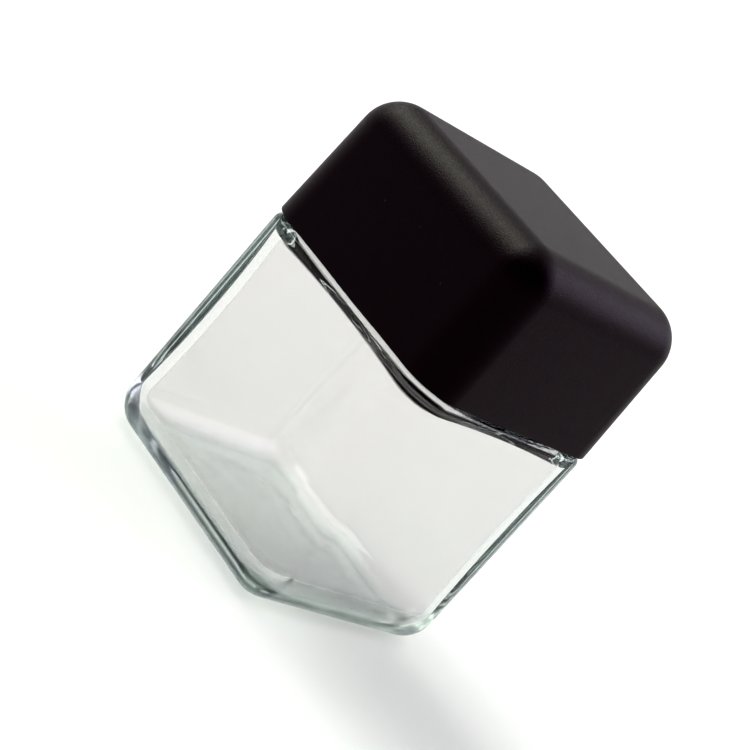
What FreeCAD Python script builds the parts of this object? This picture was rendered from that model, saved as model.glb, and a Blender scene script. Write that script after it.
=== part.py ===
import FreeCAD, Part
import os
import Sketcher

# Square specimen jar with a square screw cap.
#
# Millimetres, +Z up. The origin is the centre of the base, in the plane that the jar stands on.
# Four pieces: the glass jar, the square outer shell of the cap, the round threaded inner cap that is pressed
# into that shell, and the foam liner that seals the rim. The pieces are modelled with the cap screwed home.

DIMENSIONS = {
    # Glass body
    "glass_width": 57.3,
    "glass_corner_radius": 7.1,
    "heel_radius": 7.0,
    "shoulder_height": 51.7,
    "shoulder_edge_radius": 1.8,
    "push_up_radius": 18.0,
    "push_up_depth": 0.4,
    # Chamber inside the glass body
    "chamber_width_low": 51.0,
    "chamber_width_high": 51.2,
    "chamber_corner_radius": 5.2,
    "chamber_floor": 4.2,
    "chamber_floor_radius": 4.5,
    "chamber_ceiling": 49.5,
    "ceiling_slope": 0.08,
    "ceiling_edge_radius": 4.5,
    # Neck
    "neck_radius": 23.2,
    "neck_root_radius": 1.2,
    "bore_radius": 19.6,
    "bore_edge_radius": 2.5,
    "rim_height": 68.0,
    "rim_edge_radius": 0.9,
    "bead_radius": 24.6,
    "bead_bottom": 53.6,
    "bead_top": 55.8,
    "bead_bevel": 0.7,
    # Four-start thread: each start climbs one lead in a full turn
    "thread_starts": 4,
    "thread_lead": 16.8,
    "thread_crest_radius": 24.3,
    "thread_start_height": 58.3,
    "thread_climb": 7.2,
    "thread_root_width": 2.3,
    "thread_crest_width": 1.2,
    "thread_clearance": 0.08,
    "cap_thread_crest_radius": 23.45,
    "cap_thread_crest_width": 0.7,
    "cap_thread_climb": 2.8,
    # Inner cap and liner
    "skirt_bottom": 56.6,
    "skirt_inner_radius": 24.7,
    "skirt_outer_radius": 25.8,
    "inner_cap_top": 71.5,
    "liner_radius": 24.1,
    "liner_thickness": 1.5,
    "lug_height": 0.6,
    "lug_width": 1.2,
    "lug_end_gap": 1.2,
    "lug_side_gap": 0.1,
    "inner_cap_edge_radius": 0.8,
    # Outer shell of the cap
    "cap_width": 58.0,
    "cap_bottom": 52.2,
    "cap_top": 83.7,
    "cap_draft": 0.87,
    "cap_corner_radius": 8.3,
    "cap_top_radius": 8.0,
    "shell_wall": 1.9,
    "rib_count": 8,
    "rib_width": 1.6,
    "rib_inset": 0.95,
    "rib_bottom": 55.6,
    "rib_clearance": 0.02,
    "catch_radius": 25.3,
    "catch_top": 56.55,
}

PARTS = ("glass_jar", "cap_shell", "inner_cap", "sealing_liner")

# How far a feature runs into its neighbour so that the two join.
JOIN_DEPTH = 0.4

# Places and radii that differ by less than this are the same.
TOLERANCE = 1e-6


def make_sheet(doc):
    """The spreadsheet of driving dimensions, one alias to a row."""
    sheet = doc.addObject("Spreadsheet::Sheet", "Dimensions")
    for row, (alias, value) in enumerate(DIMENSIONS.items(), start=1):
        sheet.set("A%d" % row, alias)
        sheet.set("B%d" % row, str(value))
        sheet.setAlias("B%d" % row, alias)
    doc.recompute()
    return sheet


def cells(text):
    """An expression with each dimension's name turned into a reference to its cell."""
    words = text.split(" ")
    return " ".join("Dimensions." + word if word in DIMENSIONS else word for word in words)


def make_body(doc, name):
    body = doc.addObject("PartDesign::Body", name)
    body.Label = name
    doc.recompute()
    return body


def origin_feature(body, role):
    """One of the body's own origin planes or axes."""
    for feature in body.Origin.OriginFeatures:
        if feature.Role == role:
            return feature
    raise ValueError(role)


def make_sketch(body, name, role, height="0"):
    """An empty sketch on an origin plane of the body, raised by height along the plane's normal."""
    sketch = body.newObject("Sketcher::SketchObject", name)
    sketch.AttachmentSupport = (origin_feature(body, role), [""])
    sketch.MapMode = "FlatFace"
    sketch.setExpression("AttachmentOffset.Base.z", cells(height))
    body.Document.recompute()
    return sketch


def add_outline(sketch, corners):
    """A closed outline of straight sides. Each corner is a pair of expressions: across and up."""
    places = [[float(sketch.evalExpression(cells(text))) for text in corner] for corner in corners]
    first = sketch.GeometryCount
    count = len(corners)
    for index, (across, up) in enumerate(places):
        next_across, next_up = places[(index + 1) % count]
        start = FreeCAD.Vector(across, up, 0)
        end = FreeCAD.Vector(next_across, next_up, 0)
        sketch.addGeometry(Part.LineSegment(start, end), False)
    for index in range(count):
        following = first + (index + 1) % count
        sketch.addConstraint(Sketcher.Constraint("Coincident", first + index, 2, following, 1))
    for index, corner in enumerate(corners):
        for kind, text, value in zip(("DistanceX", "DistanceY"), corner, places[index]):
            constraint = Sketcher.Constraint(kind, -1, 1, first + index, 1, value)
            number = sketch.addConstraint(constraint)
            sketch.setExpression("Constraints[%d]" % number, cells(text))


def square_corners(width):
    half = "( %s ) / 2" % width
    near = "0 - " + half
    return [(near, near), (half, near), (half, half), (near, half)]


def pad(body, sketch, length, taper=None):
    """Material from the sketch upwards. A taper above nothing leans the sides out, below nothing in."""
    feature = body.newObject("PartDesign::Pad", sketch.Name + "Pad")
    feature.Profile = sketch
    feature.setExpression("Length", cells(length))
    if taper:
        feature.setExpression("TaperAngle", cells(taper))
    body.Document.recompute()
    return feature


def revolve(body, sketch, cut=False):
    """The sketch turned right round the vertical axis, added to the body or cut out of it."""
    kind = "PartDesign::Groove" if cut else "PartDesign::Revolution"
    feature = body.newObject(kind, sketch.Name + "Turned")
    feature.Profile = sketch
    feature.ReferenceAxis = (sketch, ["V_Axis"])
    feature.Angle = 360
    body.Document.recompute()
    return feature


def fillet(body, base, name, radius, choose):
    """Rounds the edges of base for which choose(edge) is true."""
    names = ["Edge%d" % (number + 1) for number, edge in enumerate(base.Shape.Edges) if choose(edge)]
    feature = body.newObject("PartDesign::Fillet", name)
    feature.Base = (base, names)
    feature.setExpression("Radius", cells(radius))
    body.Document.recompute()
    return feature


def pattern(body, feature, count):
    """Copies of a feature evenly round the vertical axis."""
    turned = body.newObject("PartDesign::PolarPattern", feature.Name + "Round")
    turned.Originals = [feature]
    turned.Axis = (origin_feature(body, "Z_Axis"), [""])
    turned.Angle = 360
    turned.setExpression("Occurrences", cells(count))
    body.Tip = turned
    body.Document.recompute()
    return turned


def helix(body, sketch, climb):
    """The sketch swept up a right-hand helix round the vertical axis, for part of a turn."""
    ridge = body.newObject("PartDesign::AdditiveHelix", sketch.Name + "Ridge")
    ridge.Profile = sketch
    ridge.ReferenceAxis = (sketch, ["V_Axis"])
    ridge.Mode = "pitch-height-angle"
    ridge.LeftHanded = False
    ridge.setExpression("Pitch", cells("thread_lead"))
    ridge.setExpression("Height", cells(climb))
    body.Document.recompute()
    return ridge


def is_upright(edge):
    """True for an edge that climbs, however much it leans."""
    box = edge.BoundBox
    return box.ZLength > max(box.XLength, box.YLength)


def lies_at(height):
    """A test for edges that lie level at a height."""

    def choose(edge):
        box = edge.BoundBox
        return box.ZLength < TOLERANCE and abs(box.ZMin - height) < TOLERANCE

    return choose


def is_ring(radius, height):
    """A test for the circle of a radius at a height."""
    level = lies_at(height)

    def choose(edge):
        is_circle = edge.Curve.TypeId == "Part::GeomCircle"
        return is_circle and level(edge) and abs(edge.Curve.Radius - radius) < TOLERANCE

    return choose


def make_glass_outside(doc, size):
    """The glass jar before it is hollowed: square body, rounded heel, round neck, bead and thread."""
    body = make_body(doc, "glass_outside")
    square = make_sketch(body, "GlassSquare", "XY_Plane")
    add_outline(square, square_corners("glass_width"))
    block = pad(body, square, "shoulder_height")
    corners = fillet(body, block, "GlassCorners", "glass_corner_radius", is_upright)
    heel = fillet(body, corners, "Heel", "heel_radius", lies_at(0))
    fillet(body, heel, "ShoulderEdge", "shoulder_edge_radius", lies_at(size["shoulder_height"]))

    neck = make_sketch(body, "Neck", "XZ_Plane")
    root = "shoulder_height - %s" % JOIN_DEPTH
    add_outline(neck, [
        ("0", root),
        ("neck_radius", root),
        ("neck_radius", "bead_bottom"),
        ("bead_radius", "bead_bottom + bead_bevel"),
        ("bead_radius", "bead_top - bead_bevel"),
        ("neck_radius", "bead_top"),
        ("neck_radius", "rim_height"),
        ("0", "rim_height"),
    ])
    turned = revolve(body, neck)
    root_ring = is_ring(size["neck_radius"], size["shoulder_height"])
    rounded_root = fillet(body, turned, "NeckRoot", "neck_root_radius", root_ring)
    rim_ring = is_ring(size["neck_radius"], size["rim_height"])
    fillet(body, rounded_root, "RimOutside", "rim_edge_radius", rim_ring)

    thread = make_sketch(body, "GlassThread", "XZ_Plane")
    inside = "neck_radius - %s" % JOIN_DEPTH
    low = "thread_start_height - thread_root_width / 2"
    high = "thread_start_height + thread_root_width / 2"
    add_outline(thread, [
        (inside, low),
        ("neck_radius", low),
        ("thread_crest_radius", "thread_start_height - thread_crest_width / 2"),
        ("thread_crest_radius", "thread_start_height + thread_crest_width / 2"),
        ("neck_radius", high),
        (inside, high),
    ])
    pattern(body, helix(body, thread, "thread_climb"), "thread_starts")
    return body


def make_glass_hollow(doc, size):
    """The space inside the glass.

    A rounded square chamber, a little wider at the top, whose ceiling slopes up to the round bore of the neck.
    """
    body = make_body(doc, "glass_hollow")
    square = make_sketch(body, "ChamberSquare", "XY_Plane", "chamber_floor")
    add_outline(square, square_corners("chamber_width_low"))
    widening = "( chamber_width_high - chamber_width_low ) / 2"
    lean_out = "atan( %s / ( chamber_ceiling - chamber_floor ) )" % widening
    block = pad(body, square, "shoulder_height - chamber_floor", lean_out)
    corners = fillet(body, block, "ChamberCorners", "chamber_corner_radius", is_upright)
    fillet(body, corners, "ChamberFloor", "chamber_floor_radius", lies_at(size["chamber_floor"]))

    above = make_sketch(body, "AboveCeiling", "XZ_Plane")
    reach = "glass_width"
    middle = "chamber_ceiling + ceiling_slope * chamber_width_high / 2"
    add_outline(above, [
        ("0", middle),
        (reach, "%s - ceiling_slope * %s" % (middle, reach)),
        (reach, "rim_height"),
        ("0", "rim_height"),
    ])
    sloped = revolve(body, above, cut=True)

    middle_height = (size["chamber_floor"] + size["chamber_ceiling"]) / 2

    def is_ceiling_edge(edge):
        return not is_upright(edge) and edge.BoundBox.ZMin > middle_height

    fillet(body, sloped, "CeilingEdge", "ceiling_edge_radius", is_ceiling_edge)

    bore = make_sketch(body, "Bore", "XZ_Plane")
    low = "chamber_ceiling - ceiling_edge_radius"
    high = "rim_height + %s" % JOIN_DEPTH
    add_outline(bore, [("0", low), ("bore_radius", low), ("bore_radius", high), ("0", high)])
    bored = revolve(body, bore)
    climb = size["ceiling_slope"] * (size["chamber_width_high"] / 2 - size["bore_radius"])
    bore_ring = is_ring(size["bore_radius"], size["chamber_ceiling"] + climb)
    fillet(body, bored, "BoreEdge", "bore_edge_radius", bore_ring)
    return body


def make_push_up(doc):
    """The shallow dome pressed up into the base, which leaves a flat ring for the jar to stand on."""
    dome = doc.addObject("Part::Sphere", "push_up")
    radius = "( push_up_radius ^ 2 + push_up_depth ^ 2 ) / ( 2 * push_up_depth )"
    dome.setExpression("Radius", cells(radius))
    dome.setExpression("Placement.Base.z", cells("push_up_depth - " + radius))
    return dome


def make_glass_jar(doc, size):
    hollow = doc.addObject("Part::Fuse", "glass_spaces")
    hollow.Base = make_glass_hollow(doc, size)
    hollow.Tool = make_push_up(doc)
    jar = doc.addObject("Part::Cut", "glass_jar")
    jar.Base = make_glass_outside(doc, size)
    jar.Tool = hollow
    doc.recompute()
    return jar


def make_cap_block(doc, size, name, inset):
    """The cap's outer form, or the same form drawn in all round by inset: square, leaning in, rounded on top."""
    body = make_body(doc, name)
    square = make_sketch(body, name + "_square", "XY_Plane", "cap_bottom")
    add_outline(square, square_corners("cap_width - 2 * %s" % inset))
    lean_in = "-1 * atan( cap_draft / ( cap_top - cap_bottom ) )"
    block = pad(body, square, "cap_top - cap_bottom - %s" % inset, lean_in)
    corners = fillet(body, block, name + "_corners", "cap_corner_radius - %s" % inset, is_upright)
    top = block.Shape.BoundBox.ZMax
    fillet(body, corners, name + "_top", "cap_top_radius - %s" % inset, lies_at(top))
    return body


def make_shell_ribs(doc):
    """Upright ribs that run out from the cap's middle and are cut away where the inner cap sits."""
    body = make_body(doc, "shell_rib_plates")
    plate = make_sketch(body, "RibPlate", "XY_Plane", "rib_bottom")
    across = "cap_width"
    near = "0 - rib_width / 2"
    add_outline(plate, [("0", near), (across, near), (across, "rib_width / 2"), ("0", "rib_width / 2")])
    pattern(body, pad(body, plate, "cap_top - rib_bottom"), "rib_count")

    drum = make_sketch(body, "InnerCapSpace", "XZ_Plane")
    seat = "skirt_outer_radius + rib_clearance"
    below = "rib_bottom - %s" % JOIN_DEPTH
    add_outline(drum, [
        ("0", below),
        ("catch_radius", below),
        ("catch_radius", "catch_top"),
        (seat, "catch_top"),
        (seat, "inner_cap_top"),
        ("0", "inner_cap_top"),
    ])
    revolve(body, drum, cut=True)
    return body


def make_cap_shell(doc, size):
    """The square outer shell of the cap, with the ribs inside that hold and drive the inner cap."""
    walls = doc.addObject("Part::Cut", "shell_walls")
    walls.Base = make_cap_block(doc, size, "shell_outside", "0")
    walls.Tool = make_cap_block(doc, size, "shell_hollow", "shell_wall")
    ribs = doc.addObject("Part::Common", "shell_ribs")
    ribs.Base = make_shell_ribs(doc)
    ribs.Tool = make_cap_block(doc, size, "rib_limit", "rib_inset")
    shell = doc.addObject("Part::Fuse", "cap_shell")
    shell.Base = walls
    shell.Tool = ribs
    doc.recompute()
    return shell


def make_inner_cap(doc, size):
    """The round cap that screws on the neck: skirt, top plate, thread ridges and drive lugs."""
    body = make_body(doc, "inner_cap")
    wall = make_sketch(body, "InnerCapWall", "XZ_Plane")
    plate = "rim_height + liner_thickness"
    add_outline(wall, [
        ("0", plate),
        ("skirt_inner_radius", plate),
        ("skirt_inner_radius", "skirt_bottom"),
        ("skirt_outer_radius", "skirt_bottom"),
        ("skirt_outer_radius", "inner_cap_top"),
        ("0", "inner_cap_top"),
    ])
    turned = revolve(body, wall)
    top_ring = is_ring(size["skirt_outer_radius"], size["inner_cap_top"])
    fillet(body, turned, "InnerCapTop", "inner_cap_edge_radius", top_ring)

    lugs = make_sketch(body, "DriveLugs", "XY_Plane", "skirt_bottom + lug_end_gap")
    inside = "skirt_outer_radius - %s" % JOIN_DEPTH
    outside = "skirt_outer_radius + lug_height"
    near = "rib_width / 2 + lug_side_gap"
    far = "rib_width / 2 + lug_side_gap + lug_width"
    add_outline(lugs, [(inside, near), (outside, near), (outside, far), (inside, far)])
    near, far = "0 - ( %s )" % far, "0 - ( %s )" % near
    add_outline(lugs, [(inside, near), (outside, near), (outside, far), (inside, far)])
    tall = pad(body, lugs, "inner_cap_top - skirt_bottom - 2 * lug_end_gap")
    pattern(body, tall, "rib_count")

    thread = make_sketch(body, "CapThread", "XZ_Plane")
    wall = "skirt_inner_radius"
    inside = "skirt_inner_radius + %s" % JOIN_DEPTH
    slope = "( thread_root_width - thread_crest_width ) / 2 / ( thread_crest_radius - neck_radius )"
    ridge_above = "thread_start_height + thread_lead / thread_starts"
    under = "%s - thread_root_width / 2 - thread_clearance" % ridge_above
    crest = "%s + ( cap_thread_crest_radius - neck_radius ) * %s" % (under, slope)
    root = "%s + ( skirt_inner_radius - neck_radius ) * %s" % (under, slope)
    spread = "( skirt_inner_radius - cap_thread_crest_radius ) * %s" % slope
    foot = "%s - cap_thread_crest_width - %s" % (crest, spread)
    add_outline(thread, [
        ("cap_thread_crest_radius", "%s - cap_thread_crest_width" % crest),
        (wall, foot),
        (inside, foot),
        (inside, root),
        (wall, root),
        ("cap_thread_crest_radius", crest),
    ])
    pattern(body, helix(body, thread, "cap_thread_climb"), "thread_starts")
    return body


def make_liner(doc):
    """The foam disc between the rim of the glass and the inner cap."""
    liner = doc.addObject("Part::Cylinder", "sealing_liner")
    liner.setExpression("Radius", cells("liner_radius"))
    liner.setExpression("Height", cells("liner_thickness"))
    liner.setExpression("Placement.Base.z", cells("rim_height"))
    return liner


def check(doc):
    """Stops on a failed object or on a piece whose shape is missing or not valid."""
    failed = [item.Name for item in doc.Objects if "Invalid" in item.State or "Error" in item.State]
    if failed:
        raise RuntimeError("failed objects: " + ", ".join(failed))
    for label in PARTS:
        shape = doc.getObjectsByLabel(label)[0].Shape
        if shape.isNull() or not shape.isValid() or len(shape.Solids) != 1:
            raise RuntimeError("bad shape: " + label)


def write(doc):
    os.makedirs("parts", exist_ok=True)
    for label in PARTS:
        doc.getObjectsByLabel(label)[0].Shape.exportStep("parts/%s.step" % label)


def main():
    doc = FreeCAD.newDocument("specimen_jar")
    make_sheet(doc)
    size = DIMENSIONS
    make_glass_jar(doc, size)
    make_cap_shell(doc, size)
    make_inner_cap(doc, size)
    make_liner(doc)
    doc.recompute()
    check(doc)
    write(doc)
    for label in PARTS:
        shape = doc.getObjectsByLabel(label)[0].Shape
        box = shape.BoundBox
        print(label, round(shape.Volume, 1), "mm3, z", round(box.ZMin, 2), "to", round(box.ZMax, 2))


main()
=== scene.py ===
import math

import bmesh
import bpy
import numpy as np
from mathutils import Matrix, Vector


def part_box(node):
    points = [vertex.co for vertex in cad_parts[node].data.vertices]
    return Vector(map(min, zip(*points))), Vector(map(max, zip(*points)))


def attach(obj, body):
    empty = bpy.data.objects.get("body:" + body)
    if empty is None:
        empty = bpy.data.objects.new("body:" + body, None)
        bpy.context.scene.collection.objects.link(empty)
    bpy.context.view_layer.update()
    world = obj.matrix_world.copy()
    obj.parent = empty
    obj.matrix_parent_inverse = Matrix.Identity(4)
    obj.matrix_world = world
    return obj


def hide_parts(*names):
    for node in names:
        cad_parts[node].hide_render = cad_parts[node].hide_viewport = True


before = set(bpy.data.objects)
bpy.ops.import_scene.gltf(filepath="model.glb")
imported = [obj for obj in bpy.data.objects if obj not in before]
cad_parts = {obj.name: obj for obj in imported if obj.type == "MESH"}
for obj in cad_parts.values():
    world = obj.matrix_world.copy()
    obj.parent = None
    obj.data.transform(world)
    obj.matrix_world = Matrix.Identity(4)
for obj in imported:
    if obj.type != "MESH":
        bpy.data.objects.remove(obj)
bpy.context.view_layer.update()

# Square specimen jar: clear glass, tall square soft-touch black cap.
# Lengths are millimetres until a mesh is made, which is in metres, in the frame of the CAD model.
# A piece of the jar is a closed skin through a stack of loops. A name that ends in LOOPS is how
# many loops a stretch of it has, and one that ends in SHARES is where its loops lie across it.

MM = 0.001


def corners_of(node):
    """A node's lowest and highest corners at rest, in millimetres."""
    low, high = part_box(node)
    return np.array(low) / MM, np.array(high) / MM


GLASS_LOW, GLASS_HIGH = corners_of("glass_jar")
SHELL_LOW, SHELL_HIGH = corners_of("cap_shell")
INNER_LOW, INNER_HIGH = corners_of("inner_cap")
LINER_LOW, LINER_HIGH = corners_of("sealing_liner")

# Glass body
GLASS_HALF = GLASS_HIGH[0]
GLASS_CORNER = 7.1
GLASS_STEPS = (48, 30)  # directions on each flat side and in each corner
HEEL = 7.0
HEEL_LOOPS = 22
SHOULDER = 51.7
SHOULDER_EDGE = 1.8
SHOULDER_EDGE_LOOPS = 9
SHOULDER_SHARES = (0.15, 0.4, 0.7, 1.0)
BODY_LOOPS = 26
PUSH_UP_RADIUS = 18.0
PUSH_UP = 0.4
PUSH_UP_CENTRE = 1.5
PUSH_UP_LOOPS = 12
BASE_SHARES = (0.3, 0.7)
PANEL_SINK = 0.05
PANEL_FADE = 14.0
PANEL_SIDE = (0.2, 0.75)

# Chamber inside the glass
CHAMBER_HALF = 25.6
CHAMBER_BOW = 0.3
CHAMBER_CORNER = 5.2
CHAMBER_CORNER_BOW = 0.6
CHAMBER_LOOPS = 44
FLOOR = 4.2
FLOOR_EDGE = 4.5
FLOOR_EDGE_LOOPS = 16
FLOOR_CORNER = 3.6
FLOOR_RISE = 0.25
FLOOR_SHARES = (0.93, 0.85, 0.75, 0.62, 0.5, 0.36, 0.22, 0.1)
CEILING = 49.5
CEILING_SLOPE = 0.08
CEILING_BLEND = 5.5
CEILING_LOOPS = 44
CEILING_STEP = 0.5
BLEND_INWARD = 0.25
BLEND_DOWNWARD = 0.8

# Unevenness of the chamber's wall
WALL_WAVE = 0.02
WAVE_SEED = 5
WAVE_COUNT = 7
WAVE_FEWEST, WAVE_MOST = 2, 9
WAVE_LENGTH = 24.0
WAVE_LEVEL = 4
QUIET_LOW = 12
QUIET_HIGH = 10

# Neck
RIM = GLASS_HIGH[2]
RIM_EDGE = 0.9
RIM_LOOPS = 8
NECK = 23.2
NECK_LOOPS = 84
NECK_ROOT = 1.2
NECK_ROOT_LOOPS = 7
BORE = 19.6
BORE_LOOPS = 14
BORE_EDGE = 2.5
BORE_EDGE_LOOPS = 10
BEAD_OUT = 1.4
BEAD_LOW = 53.6
BEAD_HIGH = 55.8
BEAD_FLAT = 0.3

# Four-start thread on the neck and in the cap
STARTS = 4
LEAD = 16.8
THREAD_START = 58.3
THREAD_CLIMB = 7.2
THREAD_DEPTH = 1.1
THREAD_FOOT = 2.3
THREAD_CREST = 1.2
THREAD_TAIL = 0.14
THREAD_GAP = 0.08
CAP_THREAD_CLIMB = 2.8
CAP_THREAD_DEPTH = 1.25
CAP_THREAD_CREST = 0.7
CAP_THREAD_TAIL = 0.1

# Cap shell
SHELL_HALF = SHELL_HIGH[0]
SHELL_BOTTOM = SHELL_LOW[2]
SHELL_TOP = SHELL_HIGH[2]
SHELL_CORNER = 8.3
SHELL_LEAST_CORNER = 0.2
SHELL_STEPS = (26, 30)
SHELL_TOP_EDGE = 8.0
SHELL_TOP_EDGE_LOOPS = 26
SHELL_TOP_SHARES = (0.94, 0.8, 0.6, 0.4, 0.2)
SHELL_DRAFT = 0.87
SHELL_SIDE_LOOPS = 22
SHELL_WALL = 1.9
SHELL_LIP = 0.2
SHELL_LIP_LOOPS = 4
SHELL_SHARP = 32

# Ribs inside the shell
RIBS = 8
RIB_WIDTH = 1.6
RIB_BOTTOM = 55.6
RIB_INSET = 0.95
RIB_TOP_GAP = 0.01
RIB_POINTS = 40
RIB_SEAT = 25.82
CATCH = 25.3
CATCH_TOP = 56.55

# Inner cap
SKIRT_OUTER = 25.8
SKIRT_OUTER_LOOPS = 60
SKIRT_INNER = 24.7
SKIRT_INNER_LOOPS = 84
SKIRT_BEVEL = 0.2
INNER_STEPS = 600
INNER_TOP_EDGE = 0.8
INNER_TOP_EDGE_LOOPS = 6
INNER_TOP_RADII = (22, 14, 6, 2)
PLATE = LINER_HIGH[2]
PLATE_RADII = (2, 8, 14, 20)
PLATE_FILLET = 0.5
PLATE_FILLET_LOOPS = 5
LUG_HEIGHT = 0.6
LUG_WIDTH = 1.2
LUG_GAP = 0.1
LUG_SIDE_SLOPE = 0.2
LUG_END_GAP = 1.2
LUG_END_SLOPE = 0.4

# Foam liner
LINER_STEPS = 256
LINER_LOOPS = 60
LINER_CENTRE = 1
LINER_TOP_RADII = (20, 12, 5, 1)
LINER_EDGE = 0.25
LINER_EDGE_LOOPS = 5
DENT = 0.12
DENT_SLOPE = 0.8

# Materials
NOISE_LOW, NOISE_HIGH = 0.3, 0.7  # where most of a noise's values lie
MIX_COLOURS, MIX_COLOUR_RESULT = (6, 7), 2  # a mix node's sockets for colours, which share names

# Glass material
GLASS_INDEX = 1.52
GLASS_TINT = (0.890, 0.876, 0.878)
GLASS_TINT_CLOUD = (0.882, 0.868, 0.870)
# Painted shade: the glass's colour goes towards this grey where its surface turns from the eye. It
# stands in for the dark bands that reflections and trapped light give thick glass edges.
GLASS_EDGE_PAINTED_SHADE = (0.74, 0.80, 0.81)
GLASS_SHADOW = (0.975, 0.98, 0.974)
GLASS_DEPTH = (0.60, 0.675, 0.665)
GLASS_DENSITY = 20.0
# Where the painted edge shade begins and where it is full.
EDGE_SHADE_BEGINS, EDGE_SHADE_FULL = 0.36, 0.86  # how far a surface is turned from the eye
SMEAR_LOW, SMEAR_HIGH = 0.56, 0.8
SMEAR_ROUGH = 0.003
STIPPLE_ROUGH = 0.25
STIPPLE_LOW, STIPPLE_HIGH = 0.0006, 0.0070  # metres above the base
GLASS_UNEVEN = 0.000012

# Soft-touch coating
COAT_INDEX = 1.45
COAT_GLOSS = 0.60
COAT_BLACK = (0.0065, 0.0008, 0.0042)
COAT_BLACK_CLOUD = (0.0095, 0.0020, 0.0062)
COAT_ROUGH_LOW, COAT_ROUGH_HIGH = 0.32, 0.46
COAT_GRAIN = 0.00007
SPECK = (0.06, 0.06, 0.056)
SPECK_LOW, SPECK_HIGH = 0.875, 0.89

# Moulded plastic of the inner cap
MOULDED_INDEX = 1.49
MOULDED_BLACK = (0.010, 0.010, 0.011)
MOULDED_BLACK_CLOUD = (0.022, 0.022, 0.024)
MOULDED_ROUGH_LOW, MOULDED_ROUGH_HIGH = 0.34, 0.48
MOULDED_GRAIN = 0.00002

# Foam
FOAM_INDEX = 1.4
FOAM_CELLS = 2200.0
FOAM_CELL_WALL = 0.12
FOAM_WHITE = (0.76, 0.755, 0.73)
FOAM_WHITE_CLOUD = (0.86, 0.855, 0.835)
FOAM_WALL_COLOUR = (0.66, 0.655, 0.63)
FOAM_ROUGH_LOW, FOAM_ROUGH_HIGH = 0.62, 0.78
FOAM_GRAIN = 0.00003
FOAM_GRAIN_STRENGTH = 0.7

# Paper of the floor
PAPER = (0.86, 0.86, 0.86)
PAPER_FLECK = (0.89, 0.89, 0.89)
PAPER_ROUGH = 0.9
PAPER_GLOSS = 0.1

# Camera, in degrees and millimetres
AZIMUTH = 35.6
ELEVATION = 14.77
ROLL = 41.57
DISTANCE = 470.2
PIVOT_HEIGHT = 34.8
AIM_LEFT = 3.2
AIM_UP = 3.5
LENS = 117.9
SENSOR = 36.0
NEAREST, FURTHEST = 0.01, 60.0  # metres

# Floor sheet
STAGE_HALF = 6000.0
STAGE_GAP = 0.03

# Room: strengths of light, and WALL_TOP and WALL_FADE, the heights between which walls fade
ROOM_COLOUR = (0.985, 1.0, 0.98)
BRIGHT_SIDE = 210.0
WALL_DIM = 0.55
WALL_BRIGHT = 0.66
WALL_TOP = 0.30
WALL_FADE = 0.80
OVERHEAD = 0.24

# Lights: name, degrees round from the camera, degrees up, breadth in degrees, strength, colour
LIGHTS = (
    ("top_light", 205, 70, 75.0, 0.46, (0.97, 1.0, 0.94)),
    ("side_light", 248, 47, 42.0, 1.02, (0.96, 1.0, 0.90)),
    ("fill_light", 128, 36, 42.0, 0.50, (0.90, 0.84, 1.0)),
)

# Picture
BLACK_LEVEL = (0.0190, 0.0224, 0.0202)
BOUNCES = 24


# Outlines and rings

def square_radius(turn, half, corner):
    """The distance from the axis to a rounded square's outline, in each direction."""
    across = np.abs(np.cos(turn))
    along = np.abs(np.sin(turn))
    flat = half / np.maximum(across, along)
    middle = half - corner
    reach = middle * (across + along)
    rounded = reach + np.sqrt(np.maximum(reach ** 2 - 2 * middle ** 2 + corner ** 2, 0))
    in_corner = np.minimum(across, along) * flat > middle
    return np.where(in_corner, rounded, flat)


def directions(half, corner, on_flat, in_corner):
    """Directions round the axis that crowd into the corners of a rounded square."""
    edge = math.atan2(half - corner, half)
    turns = []
    for quarter in range(4):
        middle = quarter * math.pi / 2
        turns.append(middle + np.linspace(-edge, edge, on_flat, endpoint=False))
        turns.append(middle + np.linspace(edge, math.pi / 2 - edge, in_corner, endpoint=False))
    return np.concatenate(turns)


def full_turn(steps):
    """Even directions all round the axis."""
    return np.linspace(0, 2 * math.pi, steps, endpoint=False)


def ring(turn, radius, height):
    """One loop of points, in millimetres."""
    radius = np.broadcast_to(radius, turn.shape)
    height = np.broadcast_to(height, turn.shape)
    return np.stack([radius * np.cos(turn), radius * np.sin(turn), height], axis=1)


def arc(count):
    """Angles from nothing to a quarter turn, without the first."""
    return np.linspace(0, math.pi / 2, count + 1)[1:]


def ramp(value, low, high):
    """Nothing below low, one above high, and a smooth rise between."""
    share = np.clip((value - low) / (high - low), 0, 1)
    return share * share * (3 - 2 * share)


def link_mesh(name, points, faces):
    """A smooth-shaded mesh object from points in millimetres."""
    mesh = bpy.data.meshes.new(name)
    mesh.from_pydata((np.asarray(points) * MM).tolist(), [], faces)
    mesh.update()
    piece = bpy.data.objects.new(name, mesh)
    bpy.context.scene.collection.objects.link(piece)
    smooth(piece)
    return piece


def smooth(piece, sharp_above=None):
    """Smooth shading, broken where two faces meet at more than sharp_above degrees."""
    mesh = piece.data
    mesh.polygons.foreach_set("use_smooth", [True] * len(mesh.polygons))
    if sharp_above is None:
        return
    shape = bmesh.new()
    shape.from_mesh(mesh)
    limit = math.radians(sharp_above)
    for edge in shape.edges:
        edge.smooth = edge.is_manifold and edge.calc_face_angle(0) < limit
    shape.to_mesh(mesh)
    shape.free()


def turned(name, rings, first, last):
    """A closed skin through a stack of loops, shut by a point at each end."""
    count = len(rings[0])
    points = np.concatenate(rings + [np.array([first, last])])
    near = np.arange(count)
    far = np.roll(near, -1)
    faces = []
    for level in range(len(rings) - 1):
        low = level * count
        high = low + count
        faces += np.stack([low + near, low + far, high + far, high + near], axis=1).tolist()
    start, end = len(points) - 2, len(points) - 1
    top = (len(rings) - 1) * count
    faces += np.stack([np.full(count, start), far, near], axis=1).tolist()
    faces += np.stack([np.full(count, end), top + near, top + far], axis=1).tolist()
    return link_mesh(name, points, faces)


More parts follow.
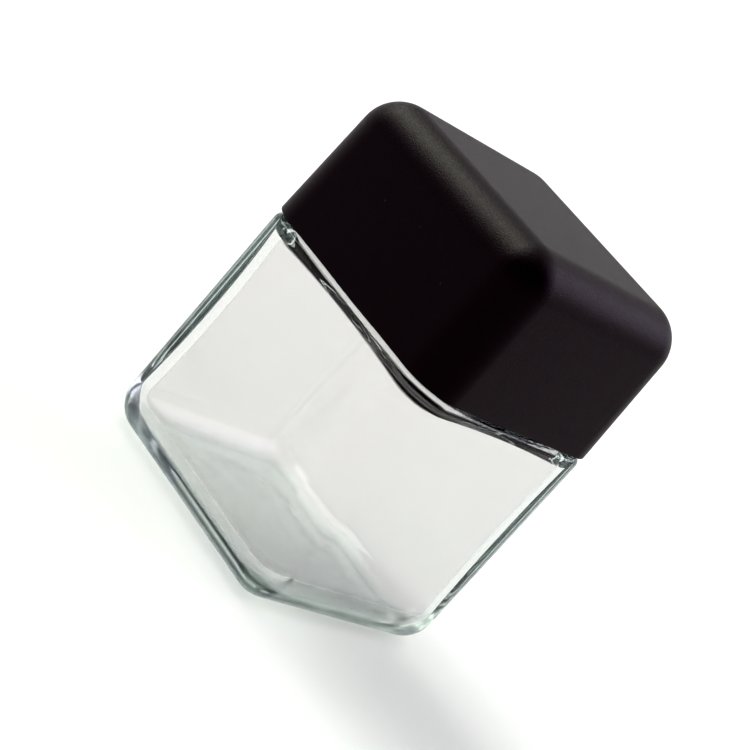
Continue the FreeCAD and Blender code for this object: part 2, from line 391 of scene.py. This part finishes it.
def ridge(turn, height, start_height, climb, foot, crest, tail):
    """How much of a thread ridge stands at each place, from nothing to one.

    Every start begins a quarter turn after the last and climbs the same helix.
    Its ends fade out over tail radians.
    """
    share = np.zeros(np.broadcast(turn, height).shape)
    length = climb / LEAD * 2 * math.pi
    for start in range(STARTS):
        along = np.mod(turn - start * 2 * math.pi / STARTS + tail, 2 * math.pi) - tail
        middle = start_height + along / (2 * math.pi) * LEAD
        away = np.abs(height - middle)
        flank = 1 - ramp(away, crest / 2, foot / 2)
        begun = ramp(along, -tail, tail / 2)
        ended = ramp(along, length - tail / 2, length + tail)
        share = np.maximum(share, flank * (begun * (1 - ended)))
    return share


def waves(turn, height):
    """A smooth, gentle unevenness over a wall, between about -1 and 1."""
    random = np.random.default_rng(WAVE_SEED)
    total = 0
    for _ in range(WAVE_COUNT):
        around = random.integers(WAVE_FEWEST, WAVE_MOST)
        up = random.uniform(-1, 1) * 2 * math.pi / WAVE_LENGTH
        total = total + np.sin(around * turn + up * height + random.uniform(0, 2 * math.pi))
    return total / WAVE_LEVEL


# The glass jar

def chamber_wall(turn, height):
    """The chamber's wall, a little uneven.

    Half-way up, the glass is thickest and its corners are roundest.
    """
    low = FLOOR + FLOOR_EDGE
    share = np.clip((height - low) / (CEILING - low), 0, 1)
    bow = 4 * share * (1 - share)
    half = CHAMBER_HALF - CHAMBER_BOW * bow
    outline = square_radius(turn, half, CHAMBER_CORNER + CHAMBER_CORNER_BOW * bow)
    begun = ramp(height, FLOOR, FLOOR + QUIET_LOW)
    ended = ramp(height, CEILING - QUIET_HIGH, CEILING)
    quiet = begun * (1 - ended)
    return outline - WALL_WAVE * quiet * waves(turn, height)


def ceiling_height(radius):
    """The chamber's ceiling slopes up from its walls to the bore."""
    return CEILING + CEILING_SLOPE * (CHAMBER_HALF - radius)


def glass_outline(turn, inset):
    """The outer wall's outline, drawn in by inset."""
    return square_radius(turn, GLASS_HALF - inset, GLASS_CORNER - inset)


def underside_rings(turn):
    """The shallow dome under the base, the flat ring that it stands on and the rounded heel."""
    rings = []
    for out in np.linspace(PUSH_UP_CENTRE, PUSH_UP_RADIUS, PUSH_UP_LOOPS):
        rings.append(ring(turn, out, PUSH_UP * (1 - (out / PUSH_UP_RADIUS) ** 2)))
    flat = glass_outline(turn, HEEL)
    for share in BASE_SHARES:
        rings.append(ring(turn, PUSH_UP_RADIUS + (flat - PUSH_UP_RADIUS) * share, 0))
    for angle in np.concatenate([[0], arc(HEEL_LOOPS)]):
        outline = glass_outline(turn, HEEL * (1 - math.sin(angle)))
        rings.append(ring(turn, outline, HEEL * (1 - math.cos(angle))))
    return rings


def body_rings(turn):
    """The outer wall, a hair hollow in the middle of each side, up to the neck's root."""
    rings = []
    outline = glass_outline(turn, 0)
    across, along = np.abs(np.cos(turn)), np.abs(np.sin(turn))
    side = np.minimum(across, along) / np.maximum(across, along)
    on_side = 1 - ramp(side, *PANEL_SIDE)
    top = SHOULDER - SHOULDER_EDGE
    for height in np.linspace(HEEL, top, BODY_LOOPS)[1:]:
        rise = ramp(height, HEEL, HEEL + PANEL_FADE) * (1 - ramp(height, top - PANEL_FADE, top))
        rings.append(ring(turn, outline - PANEL_SINK * on_side * rise, height))
    for angle in arc(SHOULDER_EDGE_LOOPS):
        outline = glass_outline(turn, SHOULDER_EDGE * (1 - math.cos(angle)))
        rings.append(ring(turn, outline, top + SHOULDER_EDGE * math.sin(angle)))
    root = NECK + NECK_ROOT
    for share in SHOULDER_SHARES:
        rings.append(ring(turn, outline + (root - outline) * share, SHOULDER))
    for angle in arc(NECK_ROOT_LOOPS):
        height = SHOULDER + NECK_ROOT * (1 - math.cos(angle))
        rings.append(ring(turn, root - NECK_ROOT * math.sin(angle), height))
    return rings


def neck_rings(turn):
    """The neck with its bead and thread, over the rounded rim and down the bore."""
    rings = []
    middle = (BEAD_LOW + BEAD_HIGH) / 2
    half = (BEAD_HIGH - BEAD_LOW) / 2
    thread_shape = THREAD_START, THREAD_CLIMB, THREAD_FOOT, THREAD_CREST, THREAD_TAIL
    for height in np.linspace(SHOULDER + NECK_ROOT, RIM - RIM_EDGE, NECK_LOOPS)[1:]:
        bead = BEAD_OUT * (1 - ramp(abs(height - middle), half * BEAD_FLAT, half))
        thread = THREAD_DEPTH * ridge(turn, height, *thread_shape)
        rings.append(ring(turn, NECK + bead + thread, height))
    for angle in arc(RIM_LOOPS):
        out = NECK - RIM_EDGE * (1 - math.cos(angle))
        rings.append(ring(turn, out, RIM - RIM_EDGE * (1 - math.sin(angle))))
    for angle in arc(RIM_LOOPS):
        out = BORE + RIM_EDGE * (1 - math.sin(angle))
        rings.append(ring(turn, out, RIM - RIM_EDGE * (1 - math.cos(angle))))
    low = ceiling_height(BORE) + BORE_EDGE
    for height in np.linspace(RIM - RIM_EDGE, low, BORE_LOOPS)[1:]:
        rings.append(ring(turn, BORE, height))
    for angle in arc(BORE_EDGE_LOOPS):
        out = BORE + BORE_EDGE * (1 - math.cos(angle))
        height = low - BORE_EDGE * math.sin(angle) - CEILING_SLOPE * (out - BORE)
        rings.append(ring(turn, out, height))
    return rings


def chamber_rings(turn):
    """The sloping ceiling, blended into the walls, down to the rounded floor."""
    rings = []
    widest = square_radius(np.array([math.pi / 4]), CHAMBER_HALF, CHAMBER_CORNER)[0]
    for out in np.linspace(BORE + BORE_EDGE, widest + CEILING_BLEND, CEILING_LOOPS)[1:]:
        height = ceiling_height(out)
        wall = chamber_wall(turn, height)
        meet = np.maximum(CEILING_BLEND - np.abs(wall - out), 0) / CEILING_BLEND
        drop = meet ** 2 * CEILING_BLEND * BLEND_INWARD
        rings.append(ring(turn, np.minimum(wall, out) - drop, height - drop * BLEND_DOWNWARD))
    highest = rings[-1][:, 2].min() - CEILING_STEP
    for height in np.linspace(highest, FLOOR + FLOOR_EDGE, CHAMBER_LOOPS):
        rings.append(ring(turn, chamber_wall(turn, height), height))
    for angle in arc(FLOOR_EDGE_LOOPS):
        inset = FLOOR_EDGE * (1 - math.cos(angle))
        corner = CHAMBER_CORNER + (FLOOR_CORNER - CHAMBER_CORNER) * inset / FLOOR_EDGE
        outline = square_radius(turn, CHAMBER_HALF - inset, corner)
        rings.append(ring(turn, outline, FLOOR + FLOOR_EDGE * (1 - math.sin(angle))))
    for share in FLOOR_SHARES:
        rings.append(ring(turn, outline * share, FLOOR + FLOOR_RISE * (1 - share ** 2)))
    return rings


def make_glass():
    """The whole jar as one skin: base, sides, neck, bore and chamber."""
    turn = directions(GLASS_HALF, GLASS_CORNER, *GLASS_STEPS)
    rings = underside_rings(turn) + body_rings(turn) + neck_rings(turn) + chamber_rings(turn)
    piece = turned("jar_glass", rings, (0, 0, PUSH_UP), (0, 0, FLOOR + FLOOR_RISE))
    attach(piece, "jar")
    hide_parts("glass_jar")
    return piece


# The cap

def shell_radius(turn, height, inset):
    """The cap's outer form, or the same form drawn in by inset, at a height."""
    lean = SHELL_DRAFT * (height - SHELL_BOTTOM) / (SHELL_TOP - SHELL_BOTTOM)
    top = SHELL_TOP - inset
    edge = SHELL_TOP_EDGE - inset
    into = np.clip((height - (top - edge)) / edge, 0, 1)
    drawn = edge * (1 - np.sqrt(1 - into ** 2))
    corner = max(SHELL_CORNER - inset - drawn, SHELL_LEAST_CORNER)
    return square_radius(turn, SHELL_HALF - inset - lean - drawn, corner)


def shell_skin(turn, inset):
    """Loops from the cap's lower edge to its flat top."""
    top = SHELL_TOP - inset
    edge = SHELL_TOP_EDGE - inset
    heights = list(np.linspace(SHELL_BOTTOM + SHELL_LIP, top - edge, SHELL_SIDE_LOOPS))
    heights += [top - edge + edge * math.sin(angle) for angle in arc(SHELL_TOP_EDGE_LOOPS)]
    rings = [ring(turn, shell_radius(turn, height, inset), height) for height in heights]
    outline = shell_radius(turn, top, inset)
    rings += [ring(turn, outline * share, top) for share in SHELL_TOP_SHARES]
    return rings


def rib_outline(turn):
    """One rib's side view, out from the axis and up, clear of the inner cap."""
    out = np.array([turn])
    heights = np.linspace(RIB_BOTTOM, SHELL_TOP - RIB_INSET - RIB_TOP_GAP, RIB_POINTS)
    outer = [(shell_radius(out, height, RIB_INSET)[0], height) for height in heights]
    inner = [
        (0, heights[-1]),
        (0, INNER_HIGH[2]),
        (RIB_SEAT, INNER_HIGH[2]),
        (RIB_SEAT, CATCH_TOP),
        (CATCH, CATCH_TOP),
        (CATCH, RIB_BOTTOM),
    ]
    return outer + inner


def make_rib(turn):
    """One rib: its side view given its width."""
    outline = rib_outline(turn)
    along = np.array([math.cos(turn), math.sin(turn), 0])
    across = np.array([-math.sin(turn), math.cos(turn), 0]) * RIB_WIDTH / 2
    points = []
    for side in (-1, 1):
        for out, height in outline:
            points.append(along * out + across * side + np.array([0, 0, height]))
    count = len(outline)
    faces = [list(range(count)), list(range(2 * count - 1, count - 1, -1))]
    for corner in range(count):
        after = (corner + 1) % count
        faces.append([after, corner, corner + count, after + count])
    return points, faces


def join_solid(piece, tool):
    """Makes one solid of two and removes the second."""
    join = piece.modifiers.new("join", "BOOLEAN")
    join.operation = "UNION"
    join.solver = "EXACT"
    join.object = tool
    graph = bpy.context.evaluated_depsgraph_get()
    mesh = bpy.data.meshes.new_from_object(piece.evaluated_get(graph))
    piece.modifiers.clear()
    piece.data = mesh
    bpy.data.objects.remove(tool)


def make_ribs():
    """All the ribs, joined where they meet on the axis."""
    first, *others = [
        link_mesh(f"rib_tool_{number}", *make_rib(number * 2 * math.pi / RIBS))
        for number in range(RIBS)
    ]
    for other in others:
        join_solid(first, other)
    return first


def make_shell():
    """The outer shell: its inside, its rounded lower lip, its outside and the ribs."""
    turn = directions(SHELL_HALF, SHELL_CORNER, *SHELL_STEPS)
    outside = shell_skin(turn, 0)
    inside = shell_skin(turn, SHELL_WALL)
    lip = SHELL_LIP
    rings = inside[::-1]
    lowest = shell_radius(turn, SHELL_BOTTOM, SHELL_WALL - lip)
    rings.append(ring(turn, lowest, SHELL_BOTTOM))
    for angle in np.linspace(0, math.pi / 2, SHELL_LIP_LOOPS + 1)[:-1]:
        inset = lip * (1 - math.sin(angle))
        height = SHELL_BOTTOM + lip * (1 - math.cos(angle))
        rings.append(ring(turn, shell_radius(turn, height, 0) - inset, height))
    rings += outside
    piece = turned("cap_outer_shell", rings, (0, 0, SHELL_TOP - SHELL_WALL), (0, 0, SHELL_TOP))
    join_solid(piece, make_ribs())
    smooth(piece, SHELL_SHARP)
    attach(piece, "cap")
    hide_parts("cap_shell")
    return piece


def lugs(turn, height):
    """How much of a drive lug stands at each place. A pair sits either side of every rib."""
    spacing = 2 * math.pi / RIBS
    away = np.abs(np.mod(turn + spacing / 2, spacing) - spacing / 2) * SKIRT_OUTER
    middle = RIB_WIDTH / 2 + LUG_GAP + LUG_WIDTH / 2
    off_middle = np.abs(away - middle)
    share = 1 - ramp(off_middle, LUG_WIDTH / 2 - LUG_SIDE_SLOPE, LUG_WIDTH / 2)
    low = INNER_LOW[2] + LUG_END_GAP
    high = INNER_HIGH[2] - LUG_END_GAP
    begun = ramp(height, low, low + LUG_END_SLOPE)
    return share * begun * (1 - ramp(height, high - LUG_END_SLOPE, high))


def cap_ridge(turn, height):
    """The cap's thread ridges, each just under a ridge of the neck."""
    slope = (THREAD_FOOT - THREAD_CREST) / 2 / THREAD_DEPTH
    reach = SKIRT_INNER - CAP_THREAD_DEPTH - NECK
    top = THREAD_START + LEAD / STARTS - THREAD_FOOT / 2 - THREAD_GAP + reach * slope
    middle = top - CAP_THREAD_CREST / 2
    foot = CAP_THREAD_CREST + 2 * CAP_THREAD_DEPTH * slope
    shape = middle, CAP_THREAD_CLIMB, foot, CAP_THREAD_CREST, CAP_THREAD_TAIL
    return ridge(turn, height, *shape)


def make_inner_cap():
    """The round cap: the plate's underside, the threaded skirt, the lugs outside and the top."""
    turn = full_turn(INNER_STEPS)
    bottom, top = INNER_LOW[2], INNER_HIGH[2]
    rings = [ring(turn, out, PLATE) for out in (*PLATE_RADII, SKIRT_INNER - PLATE_FILLET)]
    for angle in arc(PLATE_FILLET_LOOPS):
        out = SKIRT_INNER - PLATE_FILLET * (1 - math.sin(angle))
        rings.append(ring(turn, out, PLATE - PLATE_FILLET * (1 - math.cos(angle))))
    for height in np.linspace(PLATE - PLATE_FILLET, bottom + SKIRT_BEVEL, SKIRT_INNER_LOOPS)[1:]:
        rings.append(ring(turn, SKIRT_INNER - CAP_THREAD_DEPTH * cap_ridge(turn, height), height))
    rings.append(ring(turn, SKIRT_INNER + SKIRT_BEVEL, bottom))
    rings.append(ring(turn, SKIRT_OUTER - SKIRT_BEVEL, bottom))
    for height in np.linspace(bottom + SKIRT_BEVEL, top - INNER_TOP_EDGE, SKIRT_OUTER_LOOPS):
        rings.append(ring(turn, SKIRT_OUTER + LUG_HEIGHT * lugs(turn, height), height))
    for angle in arc(INNER_TOP_EDGE_LOOPS):
        out = SKIRT_OUTER - INNER_TOP_EDGE * (1 - math.cos(angle))
        rings.append(ring(turn, out, top - INNER_TOP_EDGE * (1 - math.sin(angle))))
    rings += [ring(turn, out, top) for out in INNER_TOP_RADII]
    piece = turned("cap_threaded_liner", rings, (0, 0, PLATE), (0, 0, top))
    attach(piece, "cap")
    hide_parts("inner_cap")
    return piece


def make_liner():
    """The foam disc, with the ring that the glass rim has pressed into its underside."""
    turn = full_turn(LINER_STEPS)
    low, high = LINER_LOW[2], LINER_HIGH[2]
    outer = LINER_HIGH[0]
    edge = LINER_EDGE
    rings = []
    for out in np.linspace(LINER_CENTRE, outer - edge, LINER_LOOPS):
        pressed = ramp(out, BORE, BORE + DENT_SLOPE) * (1 - ramp(out, NECK - DENT_SLOPE, NECK))
        rings.append(ring(turn, out, low + DENT * pressed))
    for angle in arc(LINER_EDGE_LOOPS):
        out = outer - edge * (1 - math.sin(angle))
        rings.append(ring(turn, out, low + edge * (1 - math.cos(angle))))
    for angle in arc(LINER_EDGE_LOOPS):
        out = outer - edge * (1 - math.cos(angle))
        rings.append(ring(turn, out, high - edge * (1 - math.sin(angle))))
    rings += [ring(turn, out, high) for out in LINER_TOP_RADII]
    piece = turned("foam_seal", rings, (0, 0, low), (0, 0, high))
    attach(piece, "liner")
    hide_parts("sealing_liner")
    return piece


# Materials

class Nodes:
    """Short words for building one material. Lengths in it are metres."""

    def __init__(self, name):
        self.material = bpy.data.materials.new(name)
        self.material.use_nodes = True
        self.tree = self.material.node_tree
        self.tree.nodes.clear()
        self.output = self.add("ShaderNodeOutputMaterial")
        self.place = self.add("ShaderNodeTexCoord").outputs["Object"]

    def add(self, kind, **settings):
        """A new node with its settings."""
        node = self.tree.nodes.new(kind)
        for key, value in settings.items():
            setattr(node, key, value)
        return node

    def link(self, source, target):
        """A wire from an output to an input."""
        self.tree.links.new(source, target)

    def noise(self, scale, detail, rough):
        """Noise whose features are about one over scale metres."""
        node = self.add("ShaderNodeTexNoise")
        node.inputs["Scale"].default_value = scale
        node.inputs["Detail"].default_value = detail
        node.inputs["Roughness"].default_value = rough
        self.link(self.place, node.inputs["Vector"])
        return node.outputs["Fac"]

    def spread(self, source, low, high, to_low=0.0, to_high=1.0):
        """The part of a value between low and high, spread between two others."""
        node = self.add("ShaderNodeMapRange")
        limits = (low, high, to_low, to_high)
        for key, value in zip(("From Min", "From Max", "To Min", "To Max"), limits):
            node.inputs[key].default_value = value
        self.link(source, node.inputs["Value"])
        return node.outputs["Result"]

    def total(self, first, second):
        """The sum of two values."""
        node = self.add("ShaderNodeMath", operation="ADD")
        self.link(first, node.inputs[0])
        self.link(second, node.inputs[1])
        return node.outputs[0]

    def blend(self, share, first, second):
        """Two colours mixed by a value."""
        node = self.add("ShaderNodeMix", data_type="RGBA")
        self.link(share, node.inputs["Factor"])
        for number, colour in zip(MIX_COLOURS, (first, second)):
            socket = node.inputs[number]
            if isinstance(colour, tuple):
                socket.default_value = (*colour, 1)
            else:
                self.link(colour, socket)
        return node.outputs[MIX_COLOUR_RESULT]

    def bump(self, source, distance, strength=1.0):
        """A fine relief, distance deep, from a value."""
        node = self.add("ShaderNodeBump")
        node.inputs["Distance"].default_value = distance
        node.inputs["Strength"].default_value = strength
        self.link(source, node.inputs["Height"])
        return node.outputs["Normal"]

    def surface(self, **values):
        """The main shader. A number or colour is set; anything else is linked."""
        node = self.add("ShaderNodeBsdfPrincipled")
        for key, value in values.items():
            socket = node.inputs[key.replace("_", " ")]
            if isinstance(value, bpy.types.NodeSocket):
                self.link(value, socket)
            elif isinstance(value, tuple):
                socket.default_value = (*value, 1)
            else:
                socket.default_value = value
        return node.outputs[0]

    def finish(self, shader):
        """The material, with its surface wired up."""
        self.link(shader, self.output.inputs["Surface"])
        return self.material


def glass_material():
    """Clear soda-lime glass with faint smears, greyer in its depth and, by painted shade, greyer at
    its edges.

    Its underside and heel are stippled, and its shadow lets light through.
    """
    n = Nodes("clear_glass")
    smear = n.noise(scale=55.0, detail=4.0, rough=0.6)
    cloud = n.noise(scale=60.0, detail=1.0, rough=0.4)
    height = n.add("ShaderNodeSeparateXYZ")
    n.link(n.place, height.inputs[0])
    stipple = n.spread(height.outputs["Z"], STIPPLE_LOW, STIPPLE_HIGH, STIPPLE_ROUGH, 0.0)
    rough = n.total(n.spread(smear, SMEAR_LOW, SMEAR_HIGH, 0.0, SMEAR_ROUGH), stipple)
    tint_and_edge_shade = n.blend(cloud, GLASS_TINT, GLASS_TINT_CLOUD)
    # Painted shade: the tint darkens towards the edge grey as the surface turns from the eye.
    facing = n.add("ShaderNodeLayerWeight").outputs["Facing"]
    tint_and_edge_shade = n.blend(n.spread(facing, EDGE_SHADE_BEGINS, EDGE_SHADE_FULL), tint_and_edge_shade, GLASS_EDGE_PAINTED_SHADE)
    clear = n.surface(
        Base_Color=tint_and_edge_shade, Roughness=rough, IOR=GLASS_INDEX, Transmission_Weight=1.0,
        Normal=n.bump(n.noise(scale=90.0, detail=0.0, rough=0.4), GLASS_UNEVEN),
    )
    pass_light = n.add("ShaderNodeBsdfTransparent")
    pass_light.inputs["Color"].default_value = (*GLASS_SHADOW, 1)
    path = n.add("ShaderNodeLightPath")
    mix = n.add("ShaderNodeMixShader")
    n.link(path.outputs["Is Shadow Ray"], mix.inputs[0])
    n.link(clear, mix.inputs[1])
    n.link(pass_light.outputs[0], mix.inputs[2])
    depth = n.add("ShaderNodeVolumeAbsorption")
    depth.inputs["Color"].default_value = (*GLASS_DEPTH, 1)
    depth.inputs["Density"].default_value = GLASS_DENSITY
    n.link(depth.outputs[0], n.output.inputs["Volume"])
    return n.finish(mix.outputs[0])


def soft_black():
    """Soft-touch black coating: a fine even grain, broad dull sheen, and a few specks of dust."""
    n = Nodes("soft_touch_black")
    grain = n.noise(scale=4800.0, detail=2.0, rough=0.6)
    cloud = n.noise(scale=90.0, detail=3.0, rough=0.5)
    dust = n.noise(scale=1700.0, detail=0.0, rough=0.5)
    speck = n.spread(dust, SPECK_LOW, SPECK_HIGH)
    colour = n.blend(speck, n.blend(cloud, COAT_BLACK, COAT_BLACK_CLOUD), SPECK)
    rough = n.spread(grain, NOISE_LOW, NOISE_HIGH, COAT_ROUGH_LOW, COAT_ROUGH_HIGH)
    return n.finish(n.surface(
        Base_Color=colour, Roughness=rough, IOR=COAT_INDEX, Specular_IOR_Level=COAT_GLOSS,
        Normal=n.bump(grain, COAT_GRAIN),
    ))


def moulded_black():
    """Plain moulded polypropylene for the inner cap."""
    n = Nodes("moulded_black")
    cloud = n.noise(scale=240.0, detail=3.0, rough=0.5)
    grain = n.noise(scale=1800.0, detail=2.0, rough=0.5)
    colour = n.blend(cloud, MOULDED_BLACK, MOULDED_BLACK_CLOUD)
    rough = n.spread(grain, NOISE_LOW, NOISE_HIGH, MOULDED_ROUGH_LOW, MOULDED_ROUGH_HIGH)
    return n.finish(n.surface(
        Base_Color=colour, Roughness=rough, IOR=MOULDED_INDEX,
        Normal=n.bump(grain, MOULDED_GRAIN),
    ))


def foam():
    """Closed-cell foam, off-white, with fine cells in its skin."""
    n = Nodes("liner_foam")
    cells = n.add("ShaderNodeTexVoronoi", feature="DISTANCE_TO_EDGE")
    cells.inputs["Scale"].default_value = FOAM_CELLS
    n.link(n.place, cells.inputs["Vector"])
    wall = n.spread(cells.outputs["Distance"], 0.0, FOAM_CELL_WALL)
    cloud = n.noise(scale=130.0, detail=3.0, rough=0.5)
    colour = n.blend(wall, FOAM_WALL_COLOUR, n.blend(cloud, FOAM_WHITE, FOAM_WHITE_CLOUD))
    rough = n.spread(cloud, NOISE_LOW, NOISE_HIGH, FOAM_ROUGH_LOW, FOAM_ROUGH_HIGH)
    return n.finish(n.surface(
        Base_Color=colour, Roughness=rough, IOR=FOAM_INDEX,
        Normal=n.bump(wall, FOAM_GRAIN, FOAM_GRAIN_STRENGTH),
    ))


def paper():
    """The pale surface that the jar stands on."""
    n = Nodes("pale_floor")
    fleck = n.noise(scale=35.0, detail=4.0, rough=0.5)
    colour = n.blend(fleck, PAPER, PAPER_FLECK)
    return n.finish(n.surface(
        Base_Color=colour, Roughness=PAPER_ROUGH, Specular_IOR_Level=PAPER_GLOSS,
    ))


# Camera, floor and light

def looking(azimuth, elevation):
    """The directions right, up and back for a camera that looks along azimuth and down."""
    turn, tilt = math.radians(azimuth), math.radians(elevation)
    level = math.cos(tilt)
    back = Vector((math.sin(turn) * level, -math.cos(turn) * level, math.sin(tilt)))
    right = Vector((math.cos(turn), math.sin(turn), 0))
    return right, back.cross(right), back


def make_camera():
    """The photograph's camera, which was rolled far over to one side."""
    right, up, back = looking(AZIMUTH, ELEVATION)
    pivot = Vector((0, 0, PIVOT_HEIGHT))
    place = pivot + back * DISTANCE
    aim = pivot - right * AIM_LEFT + up * AIM_UP
    back = (place - aim).normalized()
    right = up.cross(back).normalized()
    up = back.cross(right)
    roll = Matrix.Rotation(math.radians(ROLL), 3, "Z")
    turn = Matrix((right, up, back)).transposed() @ roll
    data = bpy.data.cameras.new("camera")
    data.lens = LENS
    data.sensor_width = SENSOR
    data.clip_start = NEAREST
    data.clip_end = FURTHEST
    camera = bpy.data.objects.new("camera", data)
    bpy.context.scene.collection.objects.link(camera)
    camera.matrix_world = Matrix.Translation(place * MM) @ turn.to_4x4()
    bpy.context.scene.camera = camera


def make_floor():
    """A wide pale sheet, a hair under the base."""
    half = STAGE_HALF
    low = GLASS_LOW[2] - STAGE_GAP
    points = [(-half, -half, low), (half, -half, low), (half, half, low), (-half, half, low)]
    floor = link_mesh("floor", points, [(0, 1, 2, 3)])
    floor.data.materials.append(paper())


def soft_light(name, azimuth, elevation, breadth, strength, colour):
    """A broad soft light from far off, in degrees round from the camera and up."""
    back = looking(AZIMUTH + azimuth, elevation)[2]
    data = bpy.data.lights.new(name, "SUN")
    data.angle = math.radians(breadth)
    data.energy = strength
    data.color = colour
    light = bpy.data.objects.new(name, data)
    bpy.context.scene.collection.objects.link(light)
    light.location = back + Vector((0, 0, PIVOT_HEIGHT * MM))
    light.rotation_euler = back.to_track_quat("Z", "Y").to_euler()


def smooth_step(nodes, links, source, limits):
    """A value's range, low to high, spread smoothly between two others."""
    node = nodes.new("ShaderNodeMapRange")
    node.interpolation_type = "SMOOTHSTEP"
    for key, value in zip(("From Min", "From Max", "To Min", "To Max"), limits):
        node.inputs[key].default_value = value
    links.new(source, node.inputs["Value"])
    return node.outputs["Result"]


def make_room():
    """Pale walls, brightest at BRIGHT_SIDE degrees round from the camera, that fade to OVERHEAD."""
    world = bpy.data.worlds.new("studio")
    world.use_nodes = True
    nodes, links = world.node_tree.nodes, world.node_tree.links
    sky = nodes["Background"]
    sky.inputs["Color"].default_value = (*ROOM_COLOUR, 1)
    place = nodes.new("ShaderNodeTexCoord")
    towards = nodes.new("ShaderNodeVectorMath")
    towards.operation = "DOT_PRODUCT"
    towards.inputs[1].default_value = looking(AZIMUTH + BRIGHT_SIDE, 0)[2]
    upwards = nodes.new("ShaderNodeSeparateXYZ")
    links.new(place.outputs["Generated"], towards.inputs[0])
    links.new(place.outputs["Generated"], upwards.inputs[0])
    walls = smooth_step(nodes, links, towards.outputs["Value"], (-1, 1, WALL_DIM, WALL_BRIGHT))
    share = smooth_step(nodes, links, upwards.outputs["Z"], (WALL_TOP, WALL_FADE, 1, 0))
    room = nodes.new("ShaderNodeMix")
    room.inputs["A"].default_value = OVERHEAD
    links.new(share, room.inputs["Factor"])
    links.new(walls, room.inputs["B"])
    links.new(room.outputs["Result"], sky.inputs["Strength"])
    bpy.context.scene.world = world


def set_look():
    """The photograph's bright, contrasty tones, and enough bounces for light to cross the glass."""
    scene = bpy.context.scene
    scene.view_settings.view_transform = "Standard"
    scene.view_settings.look = "Very High Contrast"
    scene.view_settings.use_curve_mapping = True
    scene.view_settings.curve_mapping.black_level = BLACK_LEVEL
    scene.cycles.max_bounces = BOUNCES
    scene.cycles.transmission_bounces = BOUNCES
    scene.cycles.glossy_bounces = BOUNCES
    scene.cycles.transparent_max_bounces = BOUNCES


def build():
    """Every piece with its material."""
    for piece, material in (
        (make_glass(), glass_material()),
        (make_shell(), soft_black()),
        (make_inner_cap(), moulded_black()),
        (make_liner(), foam()),
    ):
        piece.data.materials.clear()
        piece.data.materials.append(material)


make_camera()
build()
make_floor()
make_room()
for light in LIGHTS:
    soft_light(*light)
set_look()
